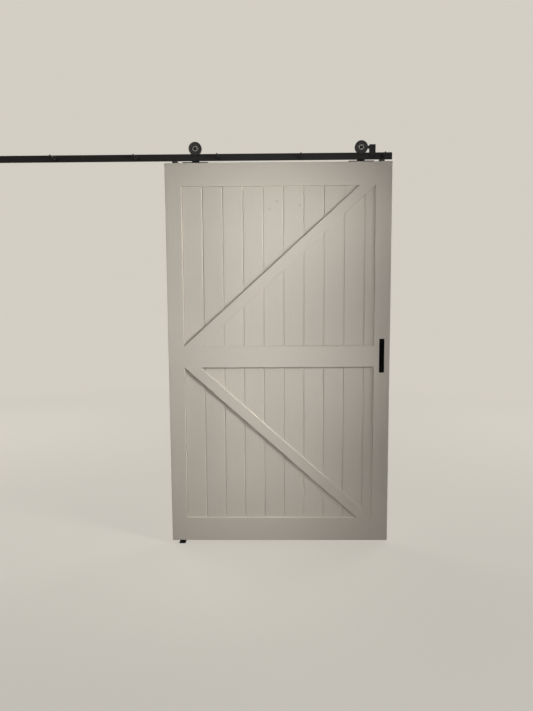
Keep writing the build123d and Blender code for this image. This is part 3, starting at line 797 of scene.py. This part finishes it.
def seen_directly(tree):
    """1 for what the camera or a reflection sees, and 0 for the light that is thrown back."""
    path = shader_node(tree, "ShaderNodeLightPath")
    seen = math_node(tree, "MAXIMUM", path.outputs["Is Camera Ray"], path.outputs["Is Glossy Ray"])
    return math_node(tree, "MAXIMUM", seen, path.outputs["Is Transmission Ray"])


def mix_shaders(tree, factor, first, second):
    """Mixes two shaders by a factor."""
    made = shader_node(tree, "ShaderNodeMixShader")
    for socket, value in zip(made.inputs, (factor, first, second)):
        tree.links.new(value, socket)
    return made.outputs[0]


def studio_floor_material():
    """A pale floor that keeps shadows and fades out, and a dark one for the light thrown back."""
    material, tree, dark = new_material("studio_floor")
    surface = dark.outputs[0].links[0].to_socket
    dark.inputs["Base Color"].default_value = dark_floor
    lit = shader_node(tree, "ShaderNodeBsdfDiffuse", {"Color": pale})
    glowing = shader_node(tree, "ShaderNodeEmission", {"Color": pale, "Strength": 1.0})
    away = shader_node(tree, "ShaderNodeVectorMath", operation="LENGTH")
    tree.links.new(object_place(tree), away.inputs[0])
    glow = remap(tree, away.outputs["Value"], floor_fade, (floor_glow, 1))
    seen = mix_shaders(tree, glow, lit.outputs[0], glowing.outputs[0])
    tree.links.new(mix_shaders(tree, seen_directly(tree), dark.outputs[0], seen), surface)
    return material


def studio_world():
    """A pale background, and a plain sky for the light that falls on the door."""
    world = bpy.data.worlds.new("studio")
    world.use_nodes = True
    tree = world.node_tree
    tree.nodes.clear()
    light = shader_node(tree, "ShaderNodeBackground", {"Color": sky})
    background = shader_node(tree, "ShaderNodeBackground", {"Color": pale, "Strength": 1.0})
    output = shader_node(tree, "ShaderNodeOutputWorld")
    way = shader_node(tree, "ShaderNodeTexCoord")
    height = split(tree, way.outputs["Generated"])["Z"]
    tree.links.new(remap(tree, height, (0, 1), sky_strengths), light.inputs["Strength"])
    seen = mix_shaders(tree, seen_directly(tree), light.outputs[0], background.outputs[0])
    tree.links.new(seen, output.inputs["Surface"])
    return world


floor = new_piece("plane", size=floor_size)
floor.name = "studio_floor"
floor.data.materials.append(studio_floor_material())
bpy.context.scene.world = studio_world()

# Studio lights: two narrow lamps that graze the near face from the right and show its edges, two
# from the front that even them out and a third where the open leaf stands, and a wide one at each
# side behind, for the far face and the leaf's edges.


def area_light(name, size, place, aim, power, spread=180):
    """A square soft light at a place, aimed at a point, with a spread in degrees."""
    light = bpy.data.lights.new(name, "AREA")
    light.size = size
    light.energy = power
    light.spread = math.radians(spread)
    holder = bpy.data.objects.new(name, light)
    bpy.context.scene.collection.objects.link(holder)
    holder.location = place
    holder.rotation_euler = (Vector(aim) - Vector(place)).to_track_quat("-Z", "Y").to_euler()


area_light("key_high", 0.6, place=(2.24, -1.36, 1.9), aim=(-0.51, 0, 1.98), power=5.2, spread=48)
area_light("key_low", 0.6, place=(2.26, -1.24, 1.7), aim=(-0.96, 0, 0.3), power=5.1, spread=50)
area_light("front_high", 1.3, place=(0.5, -2.25, 0.92), aim=(0.9, 0, 1.9), power=1.85, spread=34)
area_light("front_low", 1.3, place=(0.4, -2.24, 2.0), aim=(0.72, 0, 0.24), power=1.9, spread=31)
area_light("front_open", 0.7, place=(-1.25, -3.2, 1.4), aim=(-1.1, 0, 1.15), power=2.0, spread=38)
area_light("back_left", 3.0, place=(-3.5, 3.8, 3.0), aim=(0.3, 0, 1.2), power=150.0)
area_light("back_right", 3.0, place=(4.7, 3.8, 3.0), aim=(0.9, 0, 1.2), power=150.0)

# Camera at the photograph's viewing angle, a little above the door's middle and tilted down.
# Its place, turns and focal length in pixels are those that the photograph's own lines give.

photo_height = 711
focal_length = 600.0
film_height = 36.0
far_clip = 100.0
camera_place = (0.590, -3.619, 1.552)
tilt, swing, roll = (math.radians(angle) for angle in (5.962, -0.927, 0.332))
lens = bpy.data.cameras.new("camera")
lens.sensor_fit = "VERTICAL"
lens.sensor_height = film_height
lens.lens = film_height * focal_length / photo_height
lens.clip_end = far_clip
camera = bpy.data.objects.new("camera", lens)
bpy.context.scene.collection.objects.link(camera)
camera.matrix_world = (
    Matrix.Translation(camera_place)
    @ Matrix.Rotation(-swing, 4, "Z")
    @ Matrix.Rotation(math.pi / 2 - tilt, 4, "X")
    @ Matrix.Rotation(-roll, 4, "Z")
)
bpy.context.scene.camera = camera
bpy.context.scene.view_settings.view_transform = "Standard"
